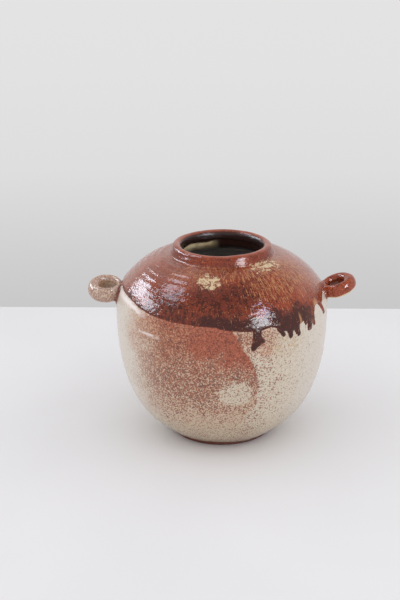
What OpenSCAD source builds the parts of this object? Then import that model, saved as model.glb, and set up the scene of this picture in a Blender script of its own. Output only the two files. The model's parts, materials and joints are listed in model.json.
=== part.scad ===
// A small wheel-thrown stoneware jar: a round body with a collared neck and a
// rounded lip, two pulled clay loops on its shoulders, and fired glaze coats.
// Z is the throwing axis, +X points to the tilted loop, and the foot stands
// on z = 0. All sizes are in millimetres.

/* [Body] */
// Width of the belly at its widest, over the glaze
belly_d = 150; // [142:1:158]
// Height of the widest part of the belly
belly_z = 95.4; // [92:0.2:98]
// Height at which the shoulder meets the neck
shoulder_z = 131.8; // [130:0.2:133]
// Diameter of the foot where the glaze stops
foot_d = 71.6; // [66:0.2:76]
// Height of the bare foot below the glaze
foot_h = 2; // [1.6:0.2:3]
// Thickness of the thrown wall, without glaze
wall = 5; // [4:0.25:6]
// Thickness of the floor of the body, without glaze
floor_t = 6.4; // [5:0.2:8]
// Width of the ring that touches the table
foot_ring_w = 6; // [5:0.5:8]

/* [Neck] */
// Overall height to the top of the lip
height = 139.4; // [138.6:0.2:142]
// Diameter of the mouth inside the glaze
mouth_d = 58.4; // [56:0.2:60]
// Thickness of the lip over the glaze
lip_t = 5.6; // [5:0.1:6]
// Diameter at the foot of the neck, where it runs out onto the shoulder
root_d = 76; // [75:0.5:79]
// Radius of the hollow between neck and shoulder
cove_r = 2.2; // [1.8:0.2:2.6]
// Depth to which the outer glaze runs down inside the mouth
band_depth = 5.6; // [5:0.2:6.4]

/* [Loops] */
// How far each loop stands out from the belly
loop_out = 20.2; // [19.6:0.1:22]
// Width of a loop, seen from above
loop_w = 24.6; // [24:0.2:26]
// Diameter of the eye through a loop
eye_d = 11.6; // [10:0.2:12]
// Height of the left-hand loop above the table
left_z = 105.4; // [104:0.2:108]
// Height of the strap of the left-hand loop
left_h = 11.2; // [10.4:0.2:12.4]
// Angle by which the left-hand loop leans forwards
left_lean = 14; // [0:1:18]
// Height of the right-hand loop above the table
right_z = 109; // [106:0.2:110]
// Height of the strap of the right-hand loop
right_h = 9.6; // [9.2:0.2:11]
// Angle by which the right-hand loop leans forwards
right_lean = 6; // [0:1:10]
// Angle by which the right-hand loop rises outwards
right_rise = 18; // [10:1:20]

/* [Glaze] */
// Thickness of the glaze on the jar
glaze_t = 0.8; // [0.6:0.1:1]
// Thickness of the glaze on the loops
loop_glaze_t = 0.6; // [0.4:0.1:0.8]

/* [Hidden] */
$fn = 180;

belly_r = belly_d / 2;
foot_r = foot_d / 2;
mouth_r = mouth_d / 2;
root_r = root_d / 2;
eye_r = eye_d / 2;

// Steps along each long curve, each short curve and each small rounding
long_n = 18;
short_n = 8;
round_n = 6;

// The outline of the jar over its glaze, as Bezier curves in [radius, height]
lower_curve = [[foot_r, foot_h], [foot_r + 22, foot_h + 15],
               [belly_r, belly_z - 62.4], [belly_r, belly_z]];
upper_curve = [[belly_r, belly_z], [belly_r, belly_z + 19],
               [root_r + 12, shoulder_z], [root_r, shoulder_z]];

// The underside of the body, where it sits on its foot ring
seat = offset_point(lower_curve, 0, -glaze_t);

// The clay surface inside the jar
inner_r = belly_r - glaze_t - wall;
inner_floor_z = seat[1] + floor_t;
inner_shoulder_z = shoulder_z - glaze_t - wall;
inner_lower_curve = [[16, inner_floor_z], [inner_r - 16, inner_floor_z],
                     [inner_r, belly_z - 54], [inner_r, belly_z]];
inner_upper_curve = [[inner_r, belly_z], [inner_r, belly_z + 17],
                     [root_r + 11, inner_shoulder_z], [root_r, inner_shoulder_z]];
clay_mouth_r = mouth_r + glaze_t;
throat_z = shoulder_z - 0.4;
throat_curve = [[root_r, inner_shoulder_z], [root_r - 5, inner_shoulder_z],
                [clay_mouth_r, throat_z - 4.5], [clay_mouth_r, throat_z]];

// The lip is a half round between the mouth and the outside of the neck
lip_r = lip_t / 2;
lip_mid = [mouth_r + lip_r, height - lip_r];
// The cove's centre, and the angle at which it meets the neck
cove_mid = [root_r, shoulder_z + cove_r];
cove_end = 185;
band_z = height - band_depth;

// How far the foot ring leans in towards the table
foot_lean = 0.8;

// Each loop: the side it is on, the middle's height, strap height, lean and rise
left = [-1, left_z, left_h, left_lean, 0];
right = [1, right_z, right_h, right_lean, right_rise];
// Facets of the round shapes of a loop
strap_fn = 108;
// Rounding of a loop's outside, and of the edges of its eye
strap_round = 4.4;
eye_round = 2.4;
// The eye just touches a line down the widest part of the belly
eye_x = belly_r + eye_r;
reach = belly_r + loop_out;
// Slip welds: how far each lies from the middle of the loop
weld_y = 6.4;
// How deep the welds start inside the widest part of the belly
weld_depth = 12;
// Where the welds end on the strap, from the middle of the loop
weld_tip_x = -4.5;

// A point of the cubic Bezier curve p at u, and its direction there
function bezier(p, u) = pow(1 - u, 3) * p[0] + 3 * u * pow(1 - u, 2) * p[1]
                        + 3 * u * u * (1 - u) * p[2] + pow(u, 3) * p[3];
function direction(p, u) = pow(1 - u, 2) * (p[1] - p[0])
                           + 2 * u * (1 - u) * (p[2] - p[1]) + u * u * (p[3] - p[2]);
// The same point moved by t to the right of the curve's direction
function offset_point(p, u, t) =
    let (d = direction(p, u)) bezier(p, u) + t * [d[1], -d[0]] / norm(d);
function curve(p, t, n) = [for (i = [0:n]) offset_point(p, i / n, t)];
function arc(mid, r, a0, a1, n) =
    [for (i = [0:n]) let (a = a0 + (a1 - a0) * i / n) mid + r * [cos(a), sin(a)]];
function reversed(list) = [for (i = [len(list) - 1:-1:0]) list[i]];

// The outside of neck and lip, t inside the glaze surface, from the shoulder
// over the top of the lip to its inner side
function neck_outline(t) = concat(arc(cove_mid, cove_r + t, 270, cove_end, short_n),
                                  arc(lip_mid, lip_r - t, 0, 180, 2 * round_n));

// How far from its middle a loop reaches outwards, and where its middle is then
function loop_extent(loop) =
    (loop_w / 2 - strap_round) * norm([cos(loop[4]), sin(loop[4]) * sin(loop[3])])
    + (loop[2] / 2 - strap_round) * cos(loop[3]) * sin(loop[4]) + strap_round;
function loop_x(loop) = reach - loop_extent(loop);

// Everything inside the outer clay surface of the body
module clay_form() {
    rotate_extrude()
        polygon(concat([[0, seat[1]]], curve(lower_curve, -glaze_t, long_n),
                       curve(upper_curve, -glaze_t, long_n), [[0, shoulder_z - glaze_t]]));
}

// Everything inside the glaze surface of the body
module glazed_form() {
    rotate_extrude()
        polygon(concat([[0, foot_h]], curve(lower_curve, 0, long_n),
                       curve(upper_curve, 0, long_n), [[0, shoulder_z]]));
}

// Places its children in a loop's own frame: x outwards, z along the eye
module at_loop(loop) {
    mirror([loop[0] < 0 ? 1 : 0, 0, 0])
        translate([loop_x(loop), 0, loop[1]])
            rotate([0, -loop[4], 0])
                rotate([loop[3], 0, 0])
                    children();
}

// The rounded disc that a loop is shaped from, t inside its glaze surface
module strap_disc(loop, t) {
    h = loop[2];
    r = loop_w / 2 - strap_round;
    z = h / 2 - strap_round;
    rotate_extrude()
        polygon(concat([[0, -h / 2 + t]], arc([r, -z], strap_round - t, 270, 360, round_n),
                       arc([r, z], strap_round - t, 0, 90, round_n), [[0, h / 2 - t]]));
}

// The eye with its softened edges; t widens it into the clay
module eye_cut(loop, t) {
    h = loop[2];
    r = eye_r + eye_round;
    z = h / 2 - eye_round;
    over = h / 2 + 2;
    translate([eye_x - loop_x(loop), 0, 0])
        rotate_extrude()
            polygon(concat([[0, -over], [r, -over]], arc([r, -z], eye_round - t, 270, 180, round_n),
                           arc([r, z], eye_round - t, 180, 90, round_n), [[r, over], [0, over]]));
}

// The strap of a loop in its own frame, t inside its glaze surface
module strap(loop, t) {
    $fn = strap_fn;
    difference() {
        strap_disc(loop, t);
        eye_cut(loop, t);
    }
}

module loop_clay(loop) {
    difference() {
        at_loop(loop) strap(loop, loop_glaze_t);
        clay_form();
    }
}

module loop_glaze(loop) {
    difference() {
        at_loop(loop)
            difference() {
                strap(loop, 0);
                strap(loop, loop_glaze_t);
            }
        glazed_form();
    }
}

// Two smears of slip that blend the ends of the strap into the shoulder
module loop_weld(loop) {
    base_x = belly_r - weld_depth - loop_x(loop);
    difference() {
        at_loop(loop)
            difference() {
                for (y = [-weld_y, weld_y])
                    translate([base_x, y, 0])
                        rotate([0, 90, 0])
                            cylinder(h = weld_tip_x - base_x, r1 = loop[2] / 2 + 0.8,
                                     r2 = loop[2] / 2 - 0.6);
                strap_disc(loop, 0);
                translate([eye_x - loop_x(loop), 0, -loop[2]])
                    cylinder(h = 2 * loop[2], r = eye_r + eye_round);
            }
        glazed_form();
    }
}

module body_shell() {
    color("tan")
        rotate_extrude()
            polygon(concat([[0, seat[1]]], curve(lower_curve, -glaze_t, long_n),
                           curve(upper_curve, -glaze_t, long_n),
                           reversed(curve(inner_upper_curve, 0, long_n)),
                           reversed(curve(inner_lower_curve, 0, long_n)),
                           [[0, inner_floor_z]]));
}

module foot_ring() {
    color("saddlebrown")
        rotate_extrude()
            polygon([[seat[0] - foot_ring_w - foot_lean, seat[1]],
                     [seat[0] - foot_ring_w, 0],
                     [seat[0] - foot_lean, 0],
                     [seat[0], foot_lean],
                     seat]);
}

module neck_collar() {
    color("peru")
        rotate_extrude()
            polygon(concat(neck_outline(glaze_t), reversed(curve(throat_curve, 0, short_n))));
}

module loop_left() {
    color("tan") loop_clay(left);
}

module loop_right() {
    color("tan") loop_clay(right);
}

module loop_left_weld() {
    color("saddlebrown") loop_weld(left);
}

module loop_right_weld() {
    color("saddlebrown") loop_weld(right);
}

module liner_glaze() {
    inside = concat([[0, inner_floor_z]], curve(inner_lower_curve, 0, long_n),
                    curve(inner_upper_curve, 0, long_n), curve(throat_curve, 0, short_n));
    lining = concat([[0, inner_floor_z + glaze_t]], curve(inner_lower_curve, -glaze_t, long_n),
                    curve(inner_upper_curve, -glaze_t, long_n),
                    curve(throat_curve, -glaze_t, short_n));
    color("darkkhaki")
        rotate_extrude()
            polygon(concat(inside, [[clay_mouth_r, band_z], [mouth_r, band_z]],
                           reversed(lining)));
}

module shoulder_glaze() {
    color("sienna")
        difference() {
            rotate_extrude()
                polygon(concat(curve(upper_curve, 0, long_n), neck_outline(0),
                               [[mouth_r, band_z], [clay_mouth_r, band_z]],
                               reversed(neck_outline(glaze_t)),
                               reversed(curve(upper_curve, -glaze_t, long_n))));
            loop_clay(left);
            loop_clay(right);
        }
}

module belly_glaze() {
    color("wheat")
        difference() {
            rotate_extrude()
                polygon(concat(curve(lower_curve, 0, long_n),
                               reversed(curve(lower_curve, -glaze_t, long_n))));
            loop_clay(left);
            loop_clay(right);
        }
}

module loop_left_glaze() {
    color("rosybrown") loop_glaze(left);
}

module loop_right_glaze() {
    color("sienna") loop_glaze(right);
}

body_shell();
foot_ring();
neck_collar();
loop_left();
loop_right();
loop_left_weld();
loop_right_weld();
liner_glaze();
shoulder_glaze();
belly_glaze();
loop_left_glaze();
loop_right_glaze();
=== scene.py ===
# The looks of a small stoneware jar: liner, two glaze coats, two pulled loops
# and the bare foot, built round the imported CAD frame.
# Lengths on the jar are in millimetres, and MM turns them into Blender's metres.
# The table, the lights and the camera are in metres. Azimuths are degrees round
# the jar: 0 at the front (-Y), positive towards +X.
import json
import math

import bpy
import numpy as np
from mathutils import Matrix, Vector, noise


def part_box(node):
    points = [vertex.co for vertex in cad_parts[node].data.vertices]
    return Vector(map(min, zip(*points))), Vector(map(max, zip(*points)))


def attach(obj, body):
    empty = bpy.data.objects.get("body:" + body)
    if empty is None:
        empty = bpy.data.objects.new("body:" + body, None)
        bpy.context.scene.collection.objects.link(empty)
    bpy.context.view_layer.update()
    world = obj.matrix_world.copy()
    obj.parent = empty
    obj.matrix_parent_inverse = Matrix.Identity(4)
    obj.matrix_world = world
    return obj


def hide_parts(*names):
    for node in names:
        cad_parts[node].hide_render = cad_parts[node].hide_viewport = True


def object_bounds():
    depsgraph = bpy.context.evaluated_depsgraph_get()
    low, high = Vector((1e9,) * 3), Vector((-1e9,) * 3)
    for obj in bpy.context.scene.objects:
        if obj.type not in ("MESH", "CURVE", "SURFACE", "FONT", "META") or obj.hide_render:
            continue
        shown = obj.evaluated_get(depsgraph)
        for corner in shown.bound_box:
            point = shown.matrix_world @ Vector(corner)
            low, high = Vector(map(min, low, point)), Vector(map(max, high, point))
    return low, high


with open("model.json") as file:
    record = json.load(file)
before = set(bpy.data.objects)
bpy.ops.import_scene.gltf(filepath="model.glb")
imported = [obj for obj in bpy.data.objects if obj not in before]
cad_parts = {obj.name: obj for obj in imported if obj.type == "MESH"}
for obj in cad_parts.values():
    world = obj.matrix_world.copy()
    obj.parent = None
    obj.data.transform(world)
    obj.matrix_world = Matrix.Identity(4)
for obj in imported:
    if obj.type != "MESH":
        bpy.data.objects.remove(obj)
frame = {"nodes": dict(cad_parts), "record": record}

MM = 0.001
CAD_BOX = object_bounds()


def top_of(node):
    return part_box(node)[1].z / MM


def mount(name):
    return next(m for m in frame["record"]["mounts"] if m["name"] == name)


# ---------------------------------------------------------------- the outline

BELLY_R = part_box("belly_glaze")[1].y / MM
BELLY_Z = top_of("belly_glaze")
HEIGHT = top_of("shoulder_glaze")
FOOT_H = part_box("belly_glaze")[0].z / MM
FOOT_R = 35.8
SHOULDER_Z = 131.8
ROOT_R = 38.0
MOUTH_R = mount("mouth")["dims"]["r_mm"]
LIP_R = 2.8
COVE_R = 2.2
# The brown coat ends this high, inside the mouth
BAND_Z = HEIGHT - 5.6
GLAZE_T = 0.8
WALL = 5.0
MM_PER_DEGREE = math.radians(BELLY_R)

CURVE_POINTS = 400
ARC_POINTS = 80


def bezier(*points):
    p = np.array(points, float)
    u = np.linspace(0, 1, CURVE_POINTS)[:, None]
    v = 1 - u
    return v**3 * p[0] + 3 * u * v**2 * p[1] + 3 * u * u * v * p[2] + u**3 * p[3]


def arc(mid, r, start, end):
    a = np.radians(np.linspace(start, end, ARC_POINTS))
    return np.c_[mid[0] + r * np.cos(a), mid[1] + r * np.sin(a)]


def softened(values, width, wrap=False):
    """The values under a Gaussian window, width samples to one sigma."""
    reach = int(3 * width) + 1
    window = np.exp(-0.5 * (np.arange(-reach, reach + 1) / width) ** 2)
    padded = np.pad(values, reach, mode="wrap" if wrap else "edge")
    return np.convolve(padded, window / window.sum(), mode="valid")


class Outline:
    """A line in [radius, height] by its own length, with the normal on its right."""

    STEP = 0.1
    NORMAL_WIDTH = 4

    def __init__(self, *parts):
        p = np.vstack(parts)
        gaps = np.hypot(*np.diff(p, axis=0).T)
        p = p[np.r_[True, gaps > 1e-6]]
        along = np.r_[0, np.cumsum(np.hypot(*np.diff(p, axis=0).T))]
        self.length = along[-1]
        self.s = np.linspace(0, self.length, int(self.length / self.STEP) + 1)
        self.r = np.interp(self.s, along, p[:, 0])
        self.z = np.interp(self.s, along, p[:, 1])
        dr = softened(np.gradient(self.r), self.NORMAL_WIDTH)
        dz = softened(np.gradient(self.z), self.NORMAL_WIDTH)
        size = np.hypot(dr, dz)
        self.nr, self.nz = dz / size, -dr / size

    def at(self, s):
        return [np.interp(s, self.s, v) for v in (self.r, self.z, self.nr, self.nz)]

    def s_of(self, z):
        """The length at which the line first reaches a height."""
        rising = self.s <= self.s[np.argmax(self.z)]
        return np.interp(z, self.z[rising], self.s[rising])


# How far each curve's control points lie from its ends: outwards and up from
# the foot, down and up from the widest ring, and outwards from the neck's root
FOOT_PULL = (22, 15)
BELLY_PULL = (62.4, 19)
ROOT_PULL = 12

OUTSIDE = Outline(
    bezier((FOOT_R, FOOT_H), (FOOT_R + FOOT_PULL[0], FOOT_H + FOOT_PULL[1]),
           (BELLY_R, BELLY_Z - BELLY_PULL[0]), (BELLY_R, BELLY_Z)),
    bezier((BELLY_R, BELLY_Z), (BELLY_R, BELLY_Z + BELLY_PULL[1]),
           (ROOT_R + ROOT_PULL, SHOULDER_Z), (ROOT_R, SHOULDER_Z)),
    arc((ROOT_R, SHOULDER_Z + COVE_R), COVE_R, 270, 185),
    arc((MOUTH_R + LIP_R, HEIGHT - LIP_R), LIP_R, 0, 180),
    [(MOUTH_R, BAND_Z)],
)

LINER_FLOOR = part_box("liner_glaze")[0].z / MM + GLAZE_T
LINER_R = BELLY_R - 2 * GLAZE_T - WALL
LINER_TOP = SHOULDER_Z - 2 * GLAZE_T - WALL
LINER_START_Z = BAND_Z + 0.4
NECK_END_Z = SHOULDER_Z - 0.4
FLOOR_FLAT_R = 16
FLOOR_MIDDLE_R = 1.5
# The liner's control points: down from the neck, inwards and outwards from the
# root, up and down from the widest ring, and inwards above the floor
NECK_PULL = 4.5
LINER_ROOT_PULL = (5, 11)
LINER_BELLY_PULL = (17, 54)
FLOOR_PULL = 16

# From the neck down to the middle of the floor, so that its right-hand side is the hollow
INSIDE = Outline(
    [(MOUTH_R, LINER_START_Z), (MOUTH_R, NECK_END_Z)],
    bezier((MOUTH_R, NECK_END_Z), (MOUTH_R, NECK_END_Z - NECK_PULL),
           (ROOT_R - LINER_ROOT_PULL[0], LINER_TOP), (ROOT_R, LINER_TOP)),
    bezier((ROOT_R, LINER_TOP), (ROOT_R + LINER_ROOT_PULL[1], LINER_TOP),
           (LINER_R, BELLY_Z + LINER_BELLY_PULL[0]), (LINER_R, BELLY_Z)),
    bezier((LINER_R, BELLY_Z), (LINER_R, BELLY_Z - LINER_BELLY_PULL[1]),
           (LINER_R - FLOOR_PULL, LINER_FLOOR), (FLOOR_FLAT_R, LINER_FLOOR)),
    [(FLOOR_MIDDLE_R, LINER_FLOOR)],
)


# ------------------------------------------------------------ shape functions


def smoothstep(low, high, x):
    t = np.clip((x - low) / (high - low), 0, 1)
    return t * t * (3 - 2 * t)


def turned(azimuth, centre):
    """Azimuth from centre, the short way round."""
    return (azimuth - centre + 180) % 360 - 180


def points_at(azimuth, r, z):
    a = np.radians(azimuth)
    return np.stack([r * np.sin(a), -r * np.cos(a), z + 0 * a], axis=-1)


def lumps(points, size, octaves=2, seed=0):
    """Soft noise from -1 to 1 whose lumps are about size millimetres."""
    flat = points.reshape(-1, 3) / size + 17.3 * seed
    values = [noise.fractal(Vector(p), 1.0, 2.0, octaves) for p in flat]
    return np.array(values).reshape(points.shape[:-1])


def thrown(azimuth, s, pitch):
    """The potter's spiral: rounded ridges with narrower grooves, from -1 to 1."""
    turn = s / pitch + azimuth / 360
    return 1 - 2 * np.abs(np.sin(math.pi * turn)) ** 1.4


# -------------------------------------------------- where the brown coat ends

# The lower border of the brown coat as (azimuth, height), all the way round
BORDER = [
    (-180, 101), (-165, 102.5), (-150, 104), (-130, 107), (-110, 109.5), (-92, 110.2), (-80, 110),
    (-68, 109.4), (-60, 108.8), (-50, 106.6), (-40, 105), (-30, 104.2), (-20, 103.6), (-10, 103.3),
    (-3, 103), (0, 101.6), (5, 100.8), (10, 100.3), (14, 99.9), (22, 100), (26, 101.1), (29, 100.6),
    (31, 98.8), (34, 97), (37, 96.2), (40, 95.2), (43, 95.6), (44.6, 98.4), (46.5, 99.2), (48.5, 99.8),
    (50.5, 98.4), (53, 97.4), (56, 96.6), (57.8, 98), (58.5, 101.5), (60, 104.6), (62, 105.8),
    (64.5, 106), (66.5, 104.8), (69, 103.4), (71.5, 104.2), (74, 107), (80, 108.4), (90, 107),
    (105, 103.5), (125, 101), (145, 103), (160, 101.5), (170, 100),
]
# Runs below the border: azimuth and height where each starts and ends, and
# half its width there
RUNS = [
    (18.6, 101, 18.5, 95, 3.1, 2.85), (18.4, 94, 18.5, 91.6, 2.9, 3.1), (18, 92, 16.7, 88.1, 2.6, 2.1),
    (20, 93.2, 21.6, 92.3, 2.2, 1.5), (31.6, 99, 34.1, 94, 1.9, 1.35), (38.2, 97, 38.8, 92.4, 2.8, 1.8),
    (43, 97, 44.4, 91.8, 2.3, 1.4), (42.2, 95, 42.5, 92.4, 1, 0.7), (49.4, 101, 50, 97.3, 1.8, 1),
    (53.3, 99, 53.6, 93.5, 3.2, 2.6), (56.9, 99, 57.7, 94.3, 1.9, 1), (67.6, 105, 71, 97.2, 2.3, 1.3),
    (96, 106, 97, 99, 2.6, 2), (113, 103, 114, 95, 3, 2.2), (121, 101, 122, 88, 3.4, 2.7),
    (126, 101, 127, 95, 2, 1.4), (151, 103, 150, 97, 2.4, 1.8), (164, 101, 163, 87, 3.2, 2.6),
    (171, 100, 171, 93, 2.6, 1.6), (-171, 101, -172, 96.5, 2.4, 1.6), (-148, 104, -149, 98, 2.6, 1.9),
]
BORDER_STEP = 0.25
BORDER_SOFTNESS = 2.5
# Degrees round a run in which it is worked out, and how softly it joins the coat
RUN_NEAR = 12
RUN_BLEND = 0.9


def with_run(inside, azimuth, s, run):
    """The distance into the brown coat once a run is joined to it."""
    az0, z0, az1, z1, w0, w1 = run
    x = turned(azimuth, az0) * MM_PER_DEGREE
    y = s - OUTSIDE.s_of(z0)
    bx, by = (az1 - az0) * MM_PER_DEGREE, float(OUTSIDE.s_of(z1) - OUTSIDE.s_of(z0))
    t = np.clip((x * bx + y * by) / (bx * bx + by * by), 0, 1)
    in_run = w0 + t * (w1 - w0) - np.hypot(x - t * bx, y - t * by)
    blend = np.clip(0.5 + 0.5 * (in_run - inside) / RUN_BLEND, 0, 1)
    return inside * (1 - blend) + in_run * blend + RUN_BLEND * blend * (1 - blend)


def border_distance(azimuth, s, points):
    """Millimetres into the brown coat, negative below its border."""
    fine = np.arange(-180, 180, BORDER_STEP)
    az, height = np.array(BORDER + [(180, BORDER[0][1])]).T
    line = softened(OUTSIDE.s_of(np.interp(fine, az, height)), BORDER_SOFTNESS, wrap=True)
    slope = np.gradient(line, BORDER_STEP * MM_PER_DEGREE)
    column = azimuth[0]
    wrapped = turned(column, 0)
    line_here = np.interp(wrapped, fine, line, period=360)
    slope_here = np.interp(wrapped, fine, slope, period=360)
    inside = (s - line_here) / np.sqrt(1 + slope_here**2)
    for run in RUNS:
        near = np.abs(turned(column, (run[0] + run[2]) / 2)) < RUN_NEAR
        inside[:, near] = with_run(inside[:, near], azimuth[:, near], s[:, near], run)
    ragged = smoothstep(24, 34, wrapped) * smoothstep(75, 65, wrapped)
    return inside + lumps(points, 3.2, 2, seed=3) * (0.28 + 0.35 * ragged)


# ------------------------------------------------------------------- skins

# The visible side of a skin takes the map up to OVER_V, its hidden side the strip
# of height UNDER_V that starts at UNDER_START
OVER_V = 0.95
UNDER_V = 0.04
UNDER_START = 0.955


def mesh_piece(name, points, faces, uv, masks):
    """A smooth piece from points in millimetres, four-cornered faces and per-corner UVs."""
    mesh = bpy.data.meshes.new(name)
    mesh.from_pydata((points * MM).tolist(), [], faces.tolist())
    layer = mesh.uv_layers.new(name="OFBake")
    layer.data.foreach_set("uv", uv.reshape(-1).astype(np.float32))
    mesh.polygons.foreach_set("use_smooth", np.ones(len(faces), bool))
    for label, values in masks.items():
        vector = values.ndim == 2
        attribute = mesh.attributes.new(label, "FLOAT_VECTOR" if vector else "FLOAT", "POINT")
        attribute.data.foreach_set("vector" if vector else "value", values.astype(np.float32).ravel())
    mesh.update()
    piece = bpy.data.objects.new(name, mesh)
    bpy.context.scene.collection.objects.link(piece)
    return piece


def cells_of(kept):
    """Corner numbers and UVs of the kept cells of a grid that goes round the jar."""
    rows, cols = kept.shape[0] + 1, kept.shape[1]
    index = np.arange(rows * cols).reshape(rows, cols)
    i, j = np.nonzero(kept)
    k = (j + 1) % cols
    quads = np.stack([index[i, j], index[i, k], index[i + 1, k], index[i + 1, j]], axis=1)
    u0, u1 = j / cols, (j + 1) / cols
    v0, v1 = i / (rows - 1), (i + 1) / (rows - 1)
    return quads, np.stack([np.c_[u0, v0], np.c_[u1, v0], np.c_[u1, v1], np.c_[u0, v1]], axis=1)


def open_sides(kept):
    """For each side of the kept cells: which have no neighbour there, and its two corners."""
    cols = kept.shape[1]
    i, j = np.nonzero(kept)
    padded = np.zeros((kept.shape[0] + 2, cols), bool)
    padded[1:-1] = kept
    return [
        (~padded[i, j], 0, 1), (~padded[i + 2, j], 2, 3),
        (~kept[i, (j + 1) % cols], 1, 2), (~kept[i, (j - 1) % cols], 3, 0),
    ]


def skin(name, outer, inner, masks, kept=None):
    """A closed skin from two grids of points, [row, azimuth], one over the other.

    kept says which cells of the grid it has; its open edges are closed by a rim.
    """
    rows, cols = outer.shape[:2]
    if kept is None:
        kept = np.ones((rows - 1, cols), bool)
    quads, uv = cells_of(kept)
    over, under = uv * (1, OVER_V), uv * (1, UNDER_V) + (0, UNDER_START)
    faces = [quads, quads[:, ::-1] + rows * cols]
    maps = [over, under[:, ::-1]]
    for open_side, a, b in open_sides(kept):
        qa, qb = quads[open_side, a], quads[open_side, b]
        faces.append(np.stack([qb, qa, qa + rows * cols, qb + rows * cols], axis=1))
        ua, ub = under[open_side, a], under[open_side, b]
        maps.append(np.stack([ub, ua, ua, ub], axis=1))
    faces, maps = np.vstack(faces), np.vstack(maps)
    used, corner = np.unique(faces, return_inverse=True)
    points = np.vstack([outer.reshape(-1, 3), inner.reshape(-1, 3)])[used]
    values = {}
    for label, mask in masks.items():
        column = mask.reshape(rows * cols, -1)
        values[label] = np.squeeze(np.vstack([column, column])[used])
    return mesh_piece(name, points, corner.reshape(faces.shape), maps, values)


def grid_on(outline, rows, columns):
    """Azimuths and lengths for a grid, [row, azimuth], with its points on the outline."""
    azimuth, s = np.meshgrid(np.arange(columns) * 360 / columns - 180, rows)
    r, z, _, _ = outline.at(s)
    return azimuth, s, points_at(azimuth, r, z)


def lifted(outline, azimuth, s, lift):
    r, z, nr, nz = outline.at(s)
    return points_at(azimuth, r + lift * nr, z + lift * nz)


# Throwing marks: ridges on the left of the shoulder, deeper near the neck, and
# finger marks on the belly
RIDGE_PITCH = 5.2
RIDGE_DEPTH = 0.07
RIDGE_DEPTH_AT_NECK = 0.2
RIDGES_AZ = -50
FINGER_PITCH = 9.5
FINGER_DEPTH = 0.04
# Size and depth of the slow and the quick unevenness of handwork
SLOW_SIZE, SLOW_DEPTH = 38, 0.3
QUICK_SIZE, QUICK_DEPTH = 9, 0.06


def uneven(azimuth, s, points):
    """How far the thrown and glazed surface wanders from the CAD's exact one."""
    on_shoulder = smoothstep(BELLY_Z + 8, BELLY_Z + 28, points[..., 2])
    near_neck = smoothstep(120, 127, points[..., 2])
    below_lip = smoothstep(HEIGHT - 1, HEIGHT - 6, points[..., 2])
    left = 0.5 + 0.5 * np.cos(np.radians(turned(azimuth, RIDGES_AZ)))
    depth = left * (RIDGE_DEPTH + (RIDGE_DEPTH_AT_NECK - RIDGE_DEPTH) * near_neck)
    ridges = thrown(azimuth, s, RIDGE_PITCH) * on_shoulder * below_lip * depth
    fingers = thrown(azimuth, s, FINGER_PITCH) * (1 - on_shoulder) * FINGER_DEPTH
    slow = lumps(points, SLOW_SIZE, 2, seed=1) * SLOW_DEPTH
    quick = lumps(points, QUICK_SIZE, 2, seed=2) * QUICK_DEPTH
    return ridges + fingers + slow + quick


# ------------------------------------------------------- masks on the pieces

# The right-hand edge of the terracotta flush, as (height, azimuth)
FLUSH_EDGE = [(36, 14), (42, 19), (50, 20.3), (60, 19.8), (68, 18.4), (75, 17), (80, 15),
              (84, 12.6), (89, 10.2), (95, 8.2), (101, 5.5), (104, 4)]
# The flush stops at this azimuth, on the left, where its fade has already hidden it
FLUSH_BACK = -120
# Lengths down the wall count this much in the brown coat's noise, which draws it into streaks
FLOW_SHRINK = 0.36

# Ovals on the wall: azimuth, height, width, height across, and the softness of the edge
PALE_CIRCLE = (8, 54, 25, 19, 0.22)
SECOND_FLUSH = (24, 84, 10.5, 11.5, 0.6)
STAIN = (36, 88, 26, 16, 0.6)
FRECKLE = (-37, 28.5, 2.6, 2.2, 0.3)
FLOWER = (-10, 127, 25, 8, 0.45)
CREAM_AT_ROOT = (46, 132, 48, 6, 0.6)
DARK_CROWN = (2, 118, 62, 17, 0.6)
DARK_FLANK = (-30, 110, 56, 18, 0.5)
OCHRE_IN_DRIPS = (45.6, 101, 1.6, 9, 0.5)
OCHRE_RIGHT = (62, 106.5, 6, 4.5, 0.6)
WARM_RIGHT = (45, 115, 60, 26, 0.6)
WARM_LEFT = (-28, 110, 40, 14, 0.6)
# A painted highlight: a small white line on the left, which slopes down to the right
GLINT_AZ = -43
GLINT_Z = 91.6
GLINT_SLOPE = 0.1


def flow_of(azimuth, s):
    """Places for noise that runs in streaks down the wall, without a seam."""
    return points_at(azimuth, BELLY_R, FLOW_SHRINK * s)


def unit(values):
    return np.clip(values, 0, 1)


class Wall:
    """Where a coat's points are, with lumps of two sizes that make its masks uneven."""

    def __init__(self, azimuth, points, big_size, small_size, seed):
        self.here = turned(azimuth, 0)
        self.z = points[..., 2]
        self.big = lumps(points, big_size, 3, seed=seed)
        self.small = lumps(points, small_size, 2, seed=seed + 1)

    def across(self, low, high, ragged=0):
        """0 to 1 between two azimuths, made uneven by ragged degrees."""
        return smoothstep(low, high, self.here + ragged * self.big)

    def aside(self, low, high):
        """0 to 1 between two azimuths, the same on the left and the right."""
        return smoothstep(low, high, np.abs(self.here))

    def up(self, low, high, ragged=0):
        """0 to 1 between two heights, made uneven by ragged millimetres."""
        return smoothstep(low, high, self.z + ragged * self.big)

    def oval(self, place, wobble=0):
        """1 inside an oval on the wall, falling to 0 across its soft edge."""
        az0, z0, width, height, fuzz = place
        x = turned(self.here, az0) * MM_PER_DEGREE / (width / 2)
        y = (self.z - z0) / (height / 2)
        return smoothstep(1 + fuzz, 1 - fuzz, np.hypot(x, y) + wobble)


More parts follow.
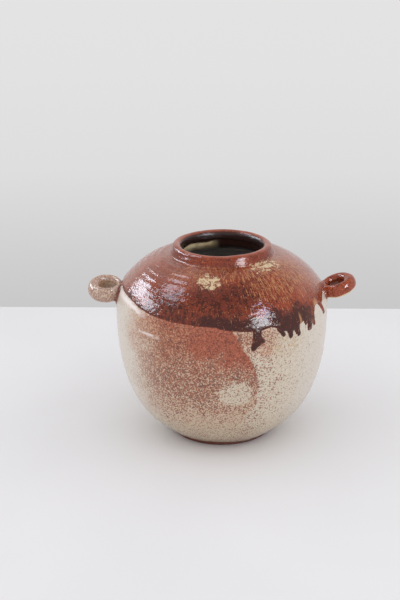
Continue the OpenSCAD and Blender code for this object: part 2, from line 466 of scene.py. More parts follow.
class Belly(Wall):
    """The masks of the oatmeal coat."""

    def __init__(self, azimuth, points):
        super().__init__(azimuth, points, 16, 5, seed=5)
        heights, azimuths = np.array(FLUSH_EDGE).T
        inward = (np.interp(self.z, heights, azimuths) - self.here) * MM_PER_DEGREE
        self.inward = inward + 0.8 * self.small
        self.inside = smoothstep(-0.9, 0.9, self.inward) * (self.here > FLUSH_BACK)
        self.bare = self.oval(PALE_CIRCLE, 0.16 * self.small)
        self.fade_left = self.across(-70, -34, 9)

    def flush(self):
        """Terracotta, thick at the top, with a band under the brown and a second small patch."""
        upper = self.inside * self.across(-56, 10, 8) * self.up(54, 92, 7)
        band = self.inside * self.across(-60, -34) * self.up(86, 103, 5) * 0.6
        low = self.inside * self.across(9, 14) * self.up(40, 47) * self.up(72, 62) * 0.35
        first = np.maximum.reduce([upper, band, low]) * (1 - self.bare)
        return np.maximum(first, 0.5 * self.oval(SECOND_FLUSH, 0.6 * self.small))

    def specks(self):
        """Thick inside the flush, thin on its right and in clouds behind."""
        outside = 1 - self.inside
        fade_low = 0.24 + 0.76 * self.up(20, 66, 7)
        left = self.inside * self.fade_left * fade_low * (1 - 0.72 * self.bare)
        right = 0.4 * self.across(44, 14, 5) * outside + 0.03
        right = right + 0.25 * self.across(36, 24) * self.up(82, 92) * outside
        edge = smoothstep(1.6, 0.4, np.abs(self.inward))
        right = right + 0.5 * edge * self.up(34, 48) * self.up(98, 94)
        right = right * self.across(-120, -60)
        behind = self.aside(95, 130) * (0.42 + 0.3 * self.big)
        return np.maximum(np.maximum(left, right), behind)

    def glow(self):
        """Tan ground under the flush, and faintly on its right below the brown."""
        strength = 0.32 + 0.68 * self.up(60, 98, 6)
        inside = self.inside * self.fade_left * strength * (1 - self.bare) * self.up(14, 40)
        notch = self.across(-30, 0) * self.across(34, 24) * (1 - self.inside) * self.up(78, 92)
        return np.maximum(inside, 0.5 * notch)

    def painted_highlight(self, border):
        """Painted highlights: the white line just under the brown on the left, and the small glint below it.
        """
        line = smoothstep(-5.4, -3.6, border + 0.8 * self.small) * smoothstep(-0.8, -1.6, border)
        line = line * self.across(-92, -80) * smoothstep(-40, -56, self.here + 6 * self.small)
        glint = (GLINT_AZ, GLINT_Z + GLINT_SLOPE * (GLINT_AZ - self.here), 17, 1.7, 0.5)
        return line + 0.8 * self.oval(glint, 0.5 * self.small)

    def masks(self, s, border):
        hem_share = 0.45 + 0.55 * self.across(-40, 0)
        return {
            "flush": unit(self.flush()),
            "specks": unit(self.specks()),
            "olive": unit(self.up(46, 14, 8) * 0.45 + 0.2 * self.inside * self.fade_left),
            "pale": self.aside(26, 62) * self.aside(120, 100) * self.up(10, 40),
            "glow": unit(self.glow()),
            "painted_highlight": unit(self.painted_highlight(border)),
            "stain": unit(0.7 * self.oval(STAIN, 0.5 * self.small) * (border < -0.5)),
            "hem": smoothstep(3.4, 1.8, s + 1.3 * self.small) * hem_share,
            "freckle": self.oval(FRECKLE, 0.3 * self.small),
        }


class Shoulder(Wall):
    """The masks of the brown coat."""

    def __init__(self, azimuth, points):
        super().__init__(azimuth, points, 14, 4.5, seed=8)
        self.radius = np.hypot(points[..., 0], points[..., 1])

    def behind(self):
        return self.aside(95, 140) * (0.25 + 0.4 * self.big)

    def veil(self):
        """Ochre hairs: thick on the right of the shoulder, and a ring of them at the root."""
        right = self.across(2, 34) * self.across(92, 70) * self.up(108, 123, 3)
        root = 0.8 * self.across(-75, -20) * self.across(92, 70) * self.up(124, 129, 2)
        return np.maximum(right, root) * self.up(135, 132)

    def dark(self, border):
        """Chocolate pools above the border, and two soft dark places higher up."""
        right = self.across(22, 30) * self.across(62, 46) * smoothstep(17, 7, border + 3 * self.small)
        middle = self.across(-24, -4) * self.across(34, 22) * smoothstep(11, 5, border + 2 * self.small)
        left = self.across(-90, -60) * self.across(4, -12) * smoothstep(3.2, 1.6, border + 1.6 * self.small)
        crown = self.oval(DARK_CROWN, 0.6 * self.big)
        flank = self.oval(DARK_FLANK, 0.5 * self.big)
        pools = [right, 0.9 * middle, 0.5 * left, 0.42 * crown, 0.38 * flank, self.behind()]
        return np.maximum.reduce(pools)

    def painted_sheen(self):
        """Painted reflection of the bright room: pale rose on both sides of the shoulder, and faintly round
        the root on the left.
        """
        below_neck = self.up(134.5, 132)
        sides = self.aside(40, 82) * self.up(107, 117, 4) * below_neck
        sides = sides * (0.8 - 0.4 * self.aside(115, 165))
        left = 0.36 * self.across(20, -40) * self.across(-120, -70) * self.up(119, 127) * below_neck
        return np.maximum(sides, left)

    def masks(self, azimuth, s, border):
        cream = self.oval(FLOWER, 0.5 * self.small) + 0.95 * self.oval(CREAM_AT_ROOT, 0.6 * self.small)
        ochre = self.oval(OCHRE_IN_DRIPS) + self.oval(OCHRE_RIGHT, 0.4 * self.small)
        warm = self.oval(WARM_RIGHT, 0.4 * self.big) + 0.5 * self.oval(WARM_LEFT, 0.4 * self.big)
        return {
            "border": border,
            "flow": flow_of(azimuth, s),
            "lip": self.up(HEIGHT - 1.1, HEIGHT - 0.1) * (0.7 + 0.5 * self.small),
            "cream": unit(cream),
            "veil": unit(self.veil() + 0.3 * self.behind()),
            "dark": unit(self.dark(border)),
            # Inside the mouth, where the colour is darkened as painted shade
            "inner": smoothstep(MOUTH_R + 1.3, MOUTH_R + 0.2, self.radius),
            "warm": warm,
            "painted_sheen": self.painted_sheen(),
            "ochre": unit(ochre),
        }


# ------------------------------------------------------------------ materials


class Glaze:
    """A material's node tree, with short calls for the nodes that it uses."""

    # The Mix node's sockets by number, because its colour sockets share their names
    MIX_SHARE, MIX_A, MIX_B, MIX_RESULT = 0, 6, 7, 2

    def __init__(self, name, roughness, ior=1.5):
        self.material = bpy.data.materials.new(name)
        self.material.use_nodes = True
        self.tree = self.material.node_tree
        self.shader = self.tree.nodes["Principled BSDF"]
        self.shader.inputs["Roughness"].default_value = roughness
        self.shader.inputs["IOR"].default_value = ior
        self.place = self.tree.nodes.new("ShaderNodeTexCoord").outputs["Object"]

    def node(self, kind, *values, **settings):
        made = self.tree.nodes.new("ShaderNode" + kind)
        for key, value in settings.items():
            setattr(made, key, value)
        for socket, value in values:
            self.set(made.inputs[socket], value)
        return made

    def set(self, socket, value):
        if isinstance(value, bpy.types.NodeSocket):
            self.tree.links.new(value, socket)
        else:
            socket.default_value = value

    def mask(self, label):
        return self.node("Attribute", attribute_name=label).outputs["Fac"]

    def math(self, operation, a, b):
        return self.node("Math", (0, a), (1, b), operation=operation).outputs[0]

    def sum(self, *terms):
        """The sum of (value, weight) pairs."""
        total = None
        for value, weight in terms:
            part = self.math("MULTIPLY", value, weight)
            total = part if total is None else self.math("ADD", total, part)
        return total

    def stretched(self, place, x, y, z):
        return self.node("Mapping", ("Vector", place), ("Scale", (x, y, z))).outputs[0]

    def noise(self, size, detail=2.0, rough=0.5, place=None):
        """Noise whose lumps are about size millimetres."""
        made = self.node("TexNoise", ("Vector", place or self.place), ("Scale", 1 / (size * MM)),
                         ("Detail", detail), ("Roughness", rough))
        return made.outputs[0]

    def cells(self, size):
        made = self.node("TexVoronoi", ("Vector", self.place), ("Scale", 1 / (size * MM)))
        return made.outputs["Distance"]

    def step(self, value, low, high):
        made = self.node("MapRange", ("Value", value), ("From Min", low), ("From Max", high),
                         interpolation_type="SMOOTHSTEP")
        return made.outputs[0]

    def mix(self, share, a, b):
        made = self.node("Mix", (self.MIX_SHARE, share), (self.MIX_A, a), (self.MIX_B, b), data_type="RGBA")
        return made.outputs[self.MIX_RESULT]

    def over(self, colour, tone, share, strength):
        """A tone laid over a colour, as strongly as share times strength."""
        return self.mix(self.math("MULTIPLY", share, strength), colour, tone)

    def bump(self, height, distance, under=None):
        made = self.node("Bump", ("Height", height), ("Distance", distance * MM))
        if under:
            self.set(made.inputs["Normal"], under)
        return made.outputs[0]

    def finish(self, colour, roughness=None, normal=None):
        self.set(self.shader.inputs["Base Color"], colour)
        if roughness:
            self.set(self.shader.inputs["Roughness"], roughness)
        if normal:
            self.set(self.shader.inputs["Normal"], normal)
        return self.material


def linear(v):
    return v / 12.92 if v <= 0.04045 else ((v + 0.055) / 1.055) ** 2.4


def srgb(r, g, b):
    """A colour given as 0 to 255, as the linear values that Blender mixes."""
    return (linear(r / 255), linear(g / 255), linear(b / 255), 1.0)


# The brown coat
RUST = srgb(150, 62, 33)
BRICK = srgb(104, 43, 31)
CHOCOLATE = srgb(50, 18, 15)
OCHRE = srgb(190, 136, 92)
CREAM = srgb(220, 196, 158)
EMBER = srgb(190, 98, 56)
# Rose sheen: painted reflection of the bright room on the shoulder's sides
SHEEN_ROSE = srgb(174, 120, 104)
ROSE_DARK = srgb(164, 94, 74)
# Painted shade: brown glaze darkened to near black inside the mouth and neck
SHADED_BROWN = srgb(46, 25, 20)
# The oatmeal coat
OATMEAL = srgb(210, 198, 180)
SAND = srgb(186, 168, 140)
PEARL = srgb(216, 208, 198)
TAN = srgb(192, 134, 96)
TERRACOTTA = srgb(158, 76, 54)
TERRACOTTA_LIGHT = srgb(186, 104, 76)
SPECK = srgb(152, 82, 56)
SPECK_DARK = srgb(104, 52, 42)
HONEY = srgb(190, 158, 116)
# Painted highlight white, for the line under the brown and the glint below it
HIGHLIGHT_WHITE = srgb(242, 232, 228)
HEM = srgb(122, 54, 38)
KHAKI = srgb(140, 112, 66)
# The liner
LINER = srgb(226, 206, 168)
LINER_OLIVE = srgb(196, 172, 132)
LINER_GREY = srgb(190, 186, 182)
# Bare clay and the table
CLAY = srgb(176, 138, 104)
CLAY_GRIT = srgb(150, 108, 78)
BARE = srgb(108, 54, 38)
BARE_GRIT = srgb(84, 44, 34)
TABLE = srgb(231, 231, 233)
TABLE_PALE = srgb(236, 236, 238)


def brown_colour(g, flow, mottle, grains):
    """Rust and brick with chocolate pools, embers, a painted rose reflection, ochre hairs and cream petals,
    darkened inside the mouth as painted shade.
    """
    streaks = g.noise(0.75, 2, 0.6, flow)
    runs = g.noise(2.1, 4, 0.65, flow)
    clouds = g.noise(12, 5, 0.65)
    tone = g.sum((clouds, 0.6), (mottle, 0.8), (g.mask("warm"), 0.1), (grains, 0.4), (runs, 1.1))
    colour = g.mix(g.step(tone, 1.3, 1.62), BRICK, RUST)
    deep = g.sum((g.mask("dark"), 0.66), (mottle, 2), (runs, 1.7), (streaks, 0.5))
    colour = g.over(colour, CHOCOLATE, g.step(deep, 2.06, 2.54), 0.9)
    embers = g.sum((streaks, 0.6), (grains, 0.6), (g.mask("dark"), -0.09))
    colour = g.over(colour, EMBER, g.step(embers, 0.62, 0.74), 0.55)
    broken = g.step(g.sum((mottle, 1), (grains, 1)), 0.55, 1.15)
    # Painted reflection: rose over the shoulder's sides
    colour = g.over(colour, SHEEN_ROSE, g.mask("painted_sheen"), broken)
    hairs = g.noise(0.85, 2, 0.55, g.stretched(flow, 1, 1, 0.55))
    flecks = g.sum((hairs, 0.85), (g.mask("veil"), 0.135), (grains, 0.25))
    colour = g.over(colour, OCHRE, g.step(flecks, 0.688, 0.75), 0.78)
    rutile = g.sum((g.mask("cream"), 0.36), (g.noise(2.6, 3, 0.75), 0.75), (grains, 0.5))
    colour = g.over(colour, CREAM, g.step(rutile, 0.9, 1.0), 0.88)
    colour = g.over(colour, OCHRE, g.mask("ochre"), 0.85)
    colour = g.over(colour, RUST, g.step(g.mask("border"), 0.6, 0.05), 0.3)
    colour = g.mix(g.mask("lip"), colour, ROSE_DARK)
    # Painted shade inside the mouth
    return g.mix(g.mask("inner"), colour, SHADED_BROWN)


def brown_glaze():
    g = Glaze("brown_glaze", 0.1, ior=1.42)
    flow = g.node("Attribute", attribute_name="flow").outputs["Vector"]
    flow = g.node("VectorMath", (0, flow), ("Scale", MM), operation="SCALE").outputs[0]
    mottle = g.noise(3.4, 5, 0.72)
    grains = g.noise(0.9, 2, 0.6)
    colour = brown_colour(g, flow, mottle, grains)
    pits = g.step(g.cells(3.2), 0.14, 0.05)
    brushed = g.noise(2.4, 3, 0.6, g.stretched(g.place, 0.35, 0.35, 1))
    normal = g.bump(brushed, 0.5)
    normal = g.bump(g.noise(1.8, 2, 0.5), 0.1, under=normal)
    normal = g.bump(pits, -0.1, under=normal)
    rough = g.sum((g.step(g.noise(5, 2), -0.4, 1.6), 0.18), (g.mask("inner"), 0.24))
    return g.finish(colour, rough, normal)


def oatmeal_colour(g, specks, flush, olive, pale, glow):
    """Oatmeal with a flush over it and red-brown specks, as thick as the specks mask says."""
    fine = g.noise(1.05, 2.5, 0.65)
    coarse = g.noise(3.4, 2, 0.5)
    ground = g.mix(olive, OATMEAL, SAND)
    ground = g.over(ground, SAND, g.step(g.noise(1.8, 3, 0.7), 0.4, 0.7), 0.5)
    ground = g.over(ground, PEARL, pale, 0.7)
    ground = g.over(ground, TAN, glow, 0.8)
    veil = g.step(g.sum((g.noise(0.9, 3, 0.75), 1), (flush, 0.52)), 0.68, 0.88)
    warm = g.mix(g.step(g.noise(1.1, 3, 0.75), 0.38, 0.62), TERRACOTTA_LIGHT, TERRACOTTA)
    colour = g.mix(veil, ground, warm)
    spotted = g.step(g.sum((fine, 1), (specks, 0.18), (coarse, 0.16), (flush, -0.06)), 0.665, 0.715)
    tone = g.mix(g.step(g.noise(1.6, 2, 0.6), 0.42, 0.6), SPECK, SPECK_DARK)
    return g.over(colour, tone, spotted, g.sum((0.88, 1), (pale, -0.5)))


def oatmeal_glaze():
    g = Glaze("oatmeal_glaze", 0.25)
    colour = oatmeal_colour(g, *[g.mask(label) for label in ("specks", "flush", "olive", "pale", "glow")])
    colour = g.over(colour, HONEY, g.mask("stain"), g.step(g.noise(3, 3, 0.6), 0.4, 0.7))
    colour = g.mix(g.mask("freckle"), colour, SPECK_DARK)
    colour = g.over(colour, HEM, g.mask("hem"), g.step(g.noise(2, 3), 0.2, 0.5))
    # Painted highlights laid over the oatmeal
    colour = g.over(colour, HIGHLIGHT_WHITE, g.mask("painted_highlight"), g.step(g.noise(2.2, 2), 0.2, 0.4))
    normal = g.bump(g.noise(0.9, 2, 0.55), 0.05)
    normal = g.bump(g.noise(4, 2), 0.08, under=normal)
    rough = g.math("ADD", g.math("MULTIPLY", g.noise(2, 2), 0.16), 0.16)
    return g.finish(colour, rough, normal)


def loop_oatmeal():
    g = Glaze("loop_oatmeal", 0.2)
    root = g.math("MULTIPLY", g.mask("root"), g.step(g.noise(6, 3, 0.6), 0.3, 0.5))
    colour = oatmeal_colour(g, specks=0.86, flush=g.sum((root, 0.4), (0.2, 1)), olive=0.0, pale=0.5, glow=0.3)
    colour = g.over(colour, BRICK, g.step(root, 0.3, 0.9), 0.8)
    # The eye's inner face is darkened: painted shade
    colour = g.over(colour, KHAKI, g.mask("eye"), 0.45)
    return g.finish(colour, normal=g.bump(g.noise(0.9, 2, 0.55), 0.06))


def loop_brown():
    g = Glaze("loop_brown", 0.1)
    colour = g.mix(g.step(g.noise(3, 4, 0.65), 0.42, 0.66), RUST, BRICK)
    colour = g.over(colour, EMBER, g.step(g.noise(1.0, 2, 0.6), 0.48, 0.64), 0.7)
    colour = g.over(colour, CHOCOLATE, g.step(g.noise(1.7, 3, 0.6), 0.58, 0.7), 0.6)
    worn = g.sum((g.mask("bare"), 1), (g.noise(2, 3, 0.7), 0.7))
    colour = g.mix(g.step(worn, 0.72, 0.86), colour, OCHRE)
    colour = g.mix(g.step(worn, 0.9, 1.12), colour, CREAM)
    # The eye's inner face is darkened: painted shade
    colour = g.over(colour, CHOCOLATE, g.mask("eye"), 0.6)
    return g.finish(colour, normal=g.bump(g.noise(1.8, 3, 0.55), 0.1))


def liner_glaze():
    g = Glaze("liner_glaze", 0.16)
    colour = g.mix(g.step(g.noise(7, 3, 0.6), 0.35, 0.7), LINER, LINER_OLIVE)
    colour = g.mix(g.mask("deep"), colour, LINER_GREY)
    colour = g.over(colour, SPECK_DARK, g.step(g.noise(0.9, 1.5, 0.6), 0.66, 0.74), 0.5)
    # Painted shade: the brown inside the neck, darkened to near black
    colour = g.mix(g.mask("brown"), colour, SHADED_BROWN)
    return g.finish(colour, normal=g.bump(g.noise(2.5, 2), 0.05))


def bare_clay(name, tone, grit):
    g = Glaze(name, 0.75)
    colour = g.mix(g.step(g.noise(3, 3, 0.6), 0.3, 0.7), tone, grit)
    colour = g.over(colour, CHOCOLATE, g.step(g.noise(0.6, 1, 0.5), 0.62, 0.7), 0.5)
    return g.finish(colour, normal=g.bump(g.noise(0.8, 3, 0.6), 0.12))


# ------------------------------------------------------- glaze coats and liner

# Points round each glaze coat
COLUMNS = 500
# How deep the hidden side of each coat lies below the CAD's surface
BROWN_DEPTH = 0.55
OATMEAL_DEPTH = 0.78
LINER_DEPTH = 0.7
# The brown coat's rows start below its lowest run, and are close up to BORDER_TOP_Z
BROWN_LOW_Z = 84.5
BORDER_TOP_Z = 112
BROWN_ROW = 0.66
UPPER_ROWS = 72
# The oatmeal coat has closer rows at its hem, and ends hidden under the brown one
HEM_TOP_Z = 12
HEM_ROWS = 14
OATMEAL_TOP_Z = 116
OATMEAL_ROW = 1.35
# The brown coat's rounded edge, and its thickness on the left of the front and elsewhere
EDGE_R = 1.3
THIN = 0.3
THICK = 0.6
THIN_AZ = -30
THIN_HALF_SPAN = 30
# The bead behind the edge where the coat is thick
BEAD = 0.22
BEAD_AT = 2.2
BEAD_WIDTH = 2
# Below its border the coat dips under the oatmeal one, and its mesh ends after this much
EDGE_DIP = 0.6
EDGE_MARGIN = 0.9
# How far the oatmeal coat sinks under the brown one, and rolls in at its hem
SUNK = 0.45
ROLLED = 0.5


def finish_piece(piece, material, slot, *nodes):
    piece.data.materials.append(material)
    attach(piece, "root")
    if nodes:
        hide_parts(*nodes)


def brown_lift(azimuth, border):
    """How far the brown coat stands out: a rounded edge, with a bead behind it where it is thick."""
    round_edge = np.clip(border / EDGE_R, 0, 1)
    rounded = np.where(border > 0, np.sqrt(1 - (1 - round_edge) ** 2), 0)
    dip = np.clip(border, -EDGE_DIP, 0) * 0.9
    beyond_thin = np.abs(turned(azimuth, THIN_AZ)) - THIN_HALF_SPAN
    thick = THIN + (THICK - THIN) * smoothstep(2, 16, beyond_thin)
    bead = BEAD * np.exp(-(((border - BEAD_AT) / BEAD_WIDTH) ** 2)) * (border > -1)
    return (rounded + dip) * thick + bead * (thick > 0.4)


def brown_coat():
    low, high = OUTSIDE.s_of(BROWN_LOW_Z), OUTSIDE.s_of(BORDER_TOP_Z)
    rows = np.r_[np.arange(low, high, BROWN_ROW), np.linspace(high, OUTSIDE.length, UPPER_ROWS)]
    azimuth, s, points = grid_on(OUTSIDE, rows, COLUMNS)
    border = border_distance(azimuth, s, points)
    touched = border > -EDGE_MARGIN
    kept = touched[:-1] | touched[1:]
    kept = kept | np.roll(kept, -1, axis=1)
    outer = lifted(OUTSIDE, azimuth, s, uneven(azimuth, s, points) + brown_lift(azimuth, border))
    inner = lifted(OUTSIDE, azimuth, s, -BROWN_DEPTH)
    masks = Shoulder(azimuth, points).masks(azimuth, s, np.clip(border, -3, 20))
    piece = skin("brown_coat", outer, inner, masks, kept)
    finish_piece(piece, brown_glaze(), "brown_glaze", "shoulder_glaze")


def oatmeal_coat():
    low, high = OUTSIDE.s_of(HEM_TOP_Z), OUTSIDE.s_of(OATMEAL_TOP_Z)
    rows = np.r_[np.linspace(0, low, HEM_ROWS)[:-1], np.arange(low, high, OATMEAL_ROW)]
    azimuth, s, points = grid_on(OUTSIDE, rows, COLUMNS)
    border = border_distance(azimuth, s, points)
    # The hem wanders up and down by about a millimetre
    s = s + smoothstep(3, 0, s) * (0.5 + 0.9 * lumps(points, 7, 2, seed=12))
    lift = uneven(azimuth, s, points) - SUNK * smoothstep(1.5, 4, border)
    outer = lifted(OUTSIDE, azimuth, s, lift - ROLLED * smoothstep(1.2, 0, s - s[0]))
    inner = lifted(OUTSIDE, azimuth, s, -OATMEAL_DEPTH)
    masks = Belly(azimuth, points).masks(s, np.clip(border, -9, 9))
    piece = skin("oatmeal_coat", outer, inner, masks)
    finish_piece(piece, oatmeal_glaze(), "oatmeal_glaze", "belly_glaze")


LINER_COLUMNS = 360
NECK_LENGTH = 16
NECK_ROWS = 24
LINER_ROWS = 96
LINER_PITCH = 8
# The brown coat runs down inside the neck, darkened to near black as painted shade, except on this side
OLIVE_AZ = -128


def liner():
    neck = np.linspace(0, NECK_LENGTH, NECK_ROWS)
    rows = np.r_[neck, np.linspace(NECK_LENGTH, INSIDE.length, LINER_ROWS)[1:]]
    azimuth, s, points = grid_on(INSIDE, rows, LINER_COLUMNS)
    shape = smoothstep(0, 8, s) * smoothstep(INSIDE.length, INSIDE.length - 20, s)
    lift = (thrown(azimuth, s, LINER_PITCH) * 0.3 + lumps(points, 30, 2, seed=20) * 0.3) * shape
    wave = lumps(points, 18, 2, seed=21)
    from_olive = np.abs(turned(azimuth, OLIVE_AZ))
    brown = smoothstep(34, 62, from_olive + 14 * wave) * smoothstep(26, 10, s + 5 * wave)
    masks = {
        "deep": smoothstep(6, 24, s + 5 * wave),
        "brown": np.maximum(brown, smoothstep(3.2, 2.2, s + 1.5 * wave)),
    }
    outer, inner = lifted(INSIDE, azimuth, s, lift), lifted(INSIDE, azimuth, s, -LINER_DEPTH)
    finish_piece(skin("liner_coat", outer, inner, masks), liner_glaze(), "liner_glaze", "liner_glaze")


# ---------------------------------------------------------------------- loops

LOOP_R = 12.3
LEFT_LOOP_H = 11.2
RIGHT_LOOP_H = 9.6
# 2 is an ellipse, and more is squarer
SECTION_POWER = 2.2
LOOP_AROUND = 192
LOOP_ACROSS = 64
# How widely a loop is smeared into the jar, and how far out that is looked for
SMEAR = 3.4
SMEAR_REACH = 4.5
WALK_STEP = 0.1
WALK_STEPS = 60


def body_distance(points):
    """Signed distance to the jar's outside, good near the surface."""
    r = np.hypot(points[..., 0], points[..., 1])
    s = OUTSIDE.s_of(np.clip(points[..., 2], FOOT_H, SHOULDER_Z))
    surface_r, _, nr, _ = OUTSIDE.at(s)
    return (r - surface_r) * nr


def smeared(centre, ray, radius):
    """How far each ray goes before it leaves the smooth union of ring and jar."""
    reach = radius.copy()
    for _ in range(WALK_STEPS):
        ring = reach - radius
        jar = body_distance(centre + ray * reach[..., None])
        mixed = np.clip(SMEAR - np.abs(ring - jar), 0, None) / SMEAR
        union = np.minimum(ring, jar) - mixed**2 * SMEAR / 4
        reach = reach + np.where((union < -0.01) & (reach < radius + SMEAR_REACH), WALK_STEP, 0)
    return reach


def ring_faces():
    """The faces and UVs of a closed ring of LOOP_AROUND by LOOP_ACROSS points."""
    index = np.arange(LOOP_AROUND * LOOP_ACROSS).reshape(LOOP_AROUND, LOOP_ACROSS)
    ahead, beside = np.roll(index, -1, axis=0), np.roll(index, -1, axis=1)
    faces = np.stack([index, ahead, np.roll(ahead, -1, axis=1), beside], axis=-1)
    i, j = np.meshgrid(np.arange(LOOP_AROUND), np.arange(LOOP_ACROSS), indexing="ij")
    uv = np.stack([np.stack([(i + a) / LOOP_AROUND, (j + b) / LOOP_ACROSS], axis=-1)
                   for a, b in ((0, 0), (1, 0), (1, 1), (0, 1))], axis=-2)
    return faces.reshape(-1, 4), uv.reshape(-1, 2)


def loop_axes(eye_mount, side):
    """Three directions: up through the eye, away from the jar, and across both."""
    up = np.array(eye_mount["axis"]) / np.linalg.norm(eye_mount["axis"])
    rise = math.atan2(-side * up[0], up[2])
    out = np.array([side * math.cos(rise), 0, math.sin(rise)])
    return up, out, np.cross(up, out)


def pulled_loop(name, mount_name, side, height, seed):
    """A ring of pulled clay round the CAD's eye, smeared out where it meets the shoulder."""
    eye_mount = mount(mount_name)
    eye = np.array(eye_mount["pos_m"]) / MM
    eye_r = eye_mount["dims"]["r_mm"]
    up, out, along = loop_axes(eye_mount, side)
    # The ring lies off the eye's centre, so that its outer side ends at the CAD's
    shift = CAD_BOX[1].x / MM - LOOP_R - abs(eye[0])
    theta, psi = np.meshgrid(np.arange(LOOP_AROUND) * 2 * math.pi / LOOP_AROUND,
                             np.arange(LOOP_ACROSS) * 2 * math.pi / LOOP_ACROSS, indexing="ij")
    outer_r = shift * np.cos(theta) + np.sqrt(LOOP_R**2 - (shift * np.sin(theta)) ** 2)
    half_w = (outer_r - eye_r) / 2
    spoke = np.cos(theta)[..., None] * out + np.sin(theta)[..., None] * along
    centre = eye + spoke * (eye_r + half_w)[..., None]
    hand = lumps(centre, 11, 2, seed=seed)
    half_h = height / 2 * (1 + 0.05 * hand)
    c, q = np.cos(psi), np.sin(psi)
    section = np.abs(c / half_w) ** SECTION_POWER + np.abs(q / half_h) ** SECTION_POWER
    radius = section ** (-1 / SECTION_POWER)
    ray = c[..., None] * spoke + q[..., None] * up
    grain = lumps(centre + ray * radius[..., None], 4, 2, seed=seed + 1) * 0.1
    points = centre + ray * (smeared(centre, ray, radius) + grain)[..., None]
    under = smoothstep(-0.5, -0.9, q + 0.2 * hand - 0.15 * np.cos(theta))
    masks = {
        "root": smoothstep(4.2, 0.4, body_distance(points)).reshape(-1),
        "bare": (under * smoothstep(-1, -0.85, np.cos(theta))).reshape(-1),
        # The inner face of the eye, darkened by the loop materials as painted shade
        "eye": smoothstep(-0.55, -0.95, c).reshape(-1),
    }
    return mesh_piece(name, points.reshape(-1, 3), *ring_faces(), masks)


def loops():
    left = pulled_loop("left_loop", "eye_left", -1, LEFT_LOOP_H, 30)
    finish_piece(left, loop_oatmeal(), "oatmeal_glaze", "loop_left", "loop_left_glaze", "loop_left_weld")
    right = pulled_loop("right_loop", "eye_right", 1, RIGHT_LOOP_H, 40)
    finish_piece(right, loop_brown(), "brown_glaze", "loop_right", "loop_right_glaze", "loop_right_weld")


def clay_nodes():
    """The clay of the CAD nodes that stay: body, collar and foot."""
    clay = bare_clay("stoneware_clay", CLAY, CLAY_GRIT)
    foot = bare_clay("bare_foot_clay", BARE, BARE_GRIT)
    for node, material in (("body_shell", clay), ("neck_collar", clay), ("foot_ring", foot)):
        thing = frame["nodes"][node]
        if not thing.material_slots:
            thing.data.materials.append(material)
        for place in thing.material_slots:
            place.material = material


# ------------------------------------------------------------ stage and light

TABLE_BACK = 0.258
TABLE_SIZE = 3.0
TABLE_THICK = 0.03


def stage():
    mesh = bpy.data.meshes.new("table")
    x = TABLE_SIZE / 2
    y = (TABLE_BACK - TABLE_SIZE, TABLE_BACK)
    corners = [(-x, y[0]), (x, y[0]), (x, y[1]), (-x, y[1])]
    points = [(*c, 0.0) for c in corners] + [(*c, -TABLE_THICK) for c in corners]
    faces = [(0, 1, 2, 3), (7, 6, 5, 4), (0, 4, 5, 1), (1, 5, 6, 2), (2, 6, 7, 3), (3, 7, 4, 0)]
    mesh.from_pydata(points, [], faces)
    table = bpy.data.objects.new("table", mesh)
    bpy.context.scene.collection.objects.link(table)
    g = Glaze("table_paint", 0.9)
    g.shader.inputs["Specular IOR Level"].default_value = 0.0
    colour = g.mix(g.step(g.noise(180, 2), 0.2, 0.8), TABLE, TABLE_PALE)
    mesh.materials.append(g.finish(colour))


# The room's brightness from straight down (0) to straight up (1)
ROOM = [(0.0, 0.6), (0.335, 0.585), (0.35, 0.63), (0.378, 0.735), (0.41, 0.768), (0.5, 0.8),
        (0.65, 0.86), (0.78, 0.8), (0.88, 0.62), (1.0, 0.5)]


def room():
    """A pale room: darker below, brightest a little above eye level, darker overhead."""
    world = bpy.data.worlds.new("room")
    bpy.context.scene.world = world
    world.use_nodes = True
    tree = world.node_tree
    way = tree.nodes.new("ShaderNodeTexCoord")
    split = tree.nodes.new("ShaderNodeSeparateXYZ")
    tree.links.new(way.outputs["Generated"], split.inputs[0])
    spread = tree.nodes.new("ShaderNodeMapRange")
    spread.inputs["From Min"].default_value = -1
    tree.links.new(split.outputs["Z"], spread.inputs["Value"])
    ramp = tree.nodes.new("ShaderNodeValToRGB")
    tree.links.new(spread.outputs[0], ramp.inputs[0])
    ramp.color_ramp.elements[0].position = ROOM[0][0]
    ramp.color_ramp.elements[1].position = ROOM[-1][0]
    for place, _ in ROOM[1:-1]:
        ramp.color_ramp.elements.new(place)
    for element, (_, level) in zip(ramp.color_ramp.elements, ROOM):
        element.color = (level, level * 0.99, level, 1)
    back = tree.nodes["Background"]
    tree.links.new(ramp.outputs[0], back.inputs["Color"])
    back.inputs["Strength"].default_value = 1.0


LIGHT_DISTANCE = 1.3
LIGHTS_AIM_AT = Vector((0, 0, HEIGHT * MM * 0.7))
WHITE = (1, 1, 1)
SKY = (0.8, 0.88, 1)
SKY_HIGH = (0.78, 0.84, 1)
DAYLIGHT = (0.95, 0.97, 1)
SKY_BLUE = (0.55, 0.66, 1)


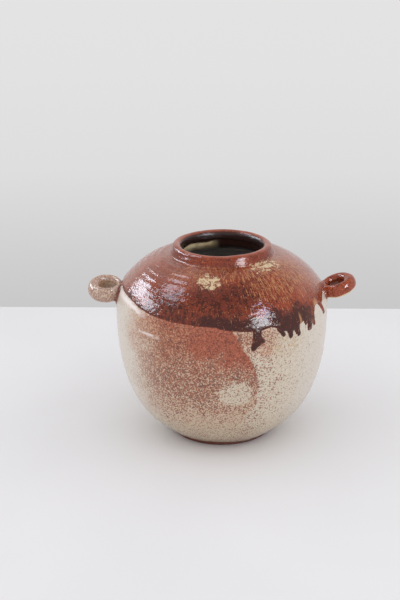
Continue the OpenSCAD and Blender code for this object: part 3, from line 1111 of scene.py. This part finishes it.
def light(name, azimuth, elevation, width, height, radiance, tint, seen):
    """A soft area light that spans width by height degrees as seen from the jar."""
    data = bpy.data.lights.new(name, "AREA")
    data.shape = "RECTANGLE"
    data.size = 2 * LIGHT_DISTANCE * math.tan(math.radians(width / 2))
    data.size_y = 2 * LIGHT_DISTANCE * math.tan(math.radians(height / 2))
    data.energy = radiance * data.size * data.size_y * math.pi
    data.color = tint
    lamp = bpy.data.objects.new(name, data)
    bpy.context.scene.collection.objects.link(lamp)
    a, e = math.radians(azimuth), math.radians(elevation)
    way = Vector((math.sin(a) * math.cos(e), -math.cos(a) * math.cos(e), math.sin(e)))
    lamp.location = LIGHTS_AIM_AT + way * LIGHT_DISTANCE
    lamp.rotation_euler = way.to_track_quat("Z", "Y").to_euler()
    lamp.visible_camera = False
    lamp.visible_diffuse = seen != "gloss"
    lamp.visible_glossy = seen != "matte"


def lights():
    """Windows that only show as highlights, and fills that only light the matte side."""
    light("left_window", -107, 26, 44, 15, 14, SKY, "gloss")
    light("left_window_high", -100, 54, 26, 16, 8, SKY_HIGH, "gloss")
    light("front_window", 45, 21, 19, 28, 17, DAYLIGHT, "gloss")
    light("front_window_sky", 54, 40, 9, 9, 22, SKY_BLUE, "gloss")
    light("fill_top", 0, 86, 90, 90, 0.36, WHITE, "matte")
    light("fill_left", -95, 32, 60, 50, 0.36, WHITE, "matte")
    light("fill_right", 70, 32, 60, 50, 0.42, WHITE, "matte")
    light("fill_low", -8, 10, 100, 16, 0.66, WHITE, "matte")


LENS = 89.2
CAMERA_BACK = 1.0
CAMERA_HEIGHT = 0.4439
CAMERA_DOWN = 19.13
CAMERA_PAN = 0.89


def camera():
    data = bpy.data.cameras.new("camera")
    data.lens = LENS
    eye = bpy.data.objects.new("camera", data)
    bpy.context.scene.collection.objects.link(eye)
    eye.location = (0, -CAMERA_BACK, CAMERA_HEIGHT)
    eye.rotation_euler = (math.radians(90 - CAMERA_DOWN), 0, math.radians(CAMERA_PAN))
    bpy.context.scene.camera = eye
    bpy.context.scene.view_settings.view_transform = "Standard"


brown_coat()
oatmeal_coat()
liner()
loops()
clay_nodes()
stage()
room()
lights()
camera()
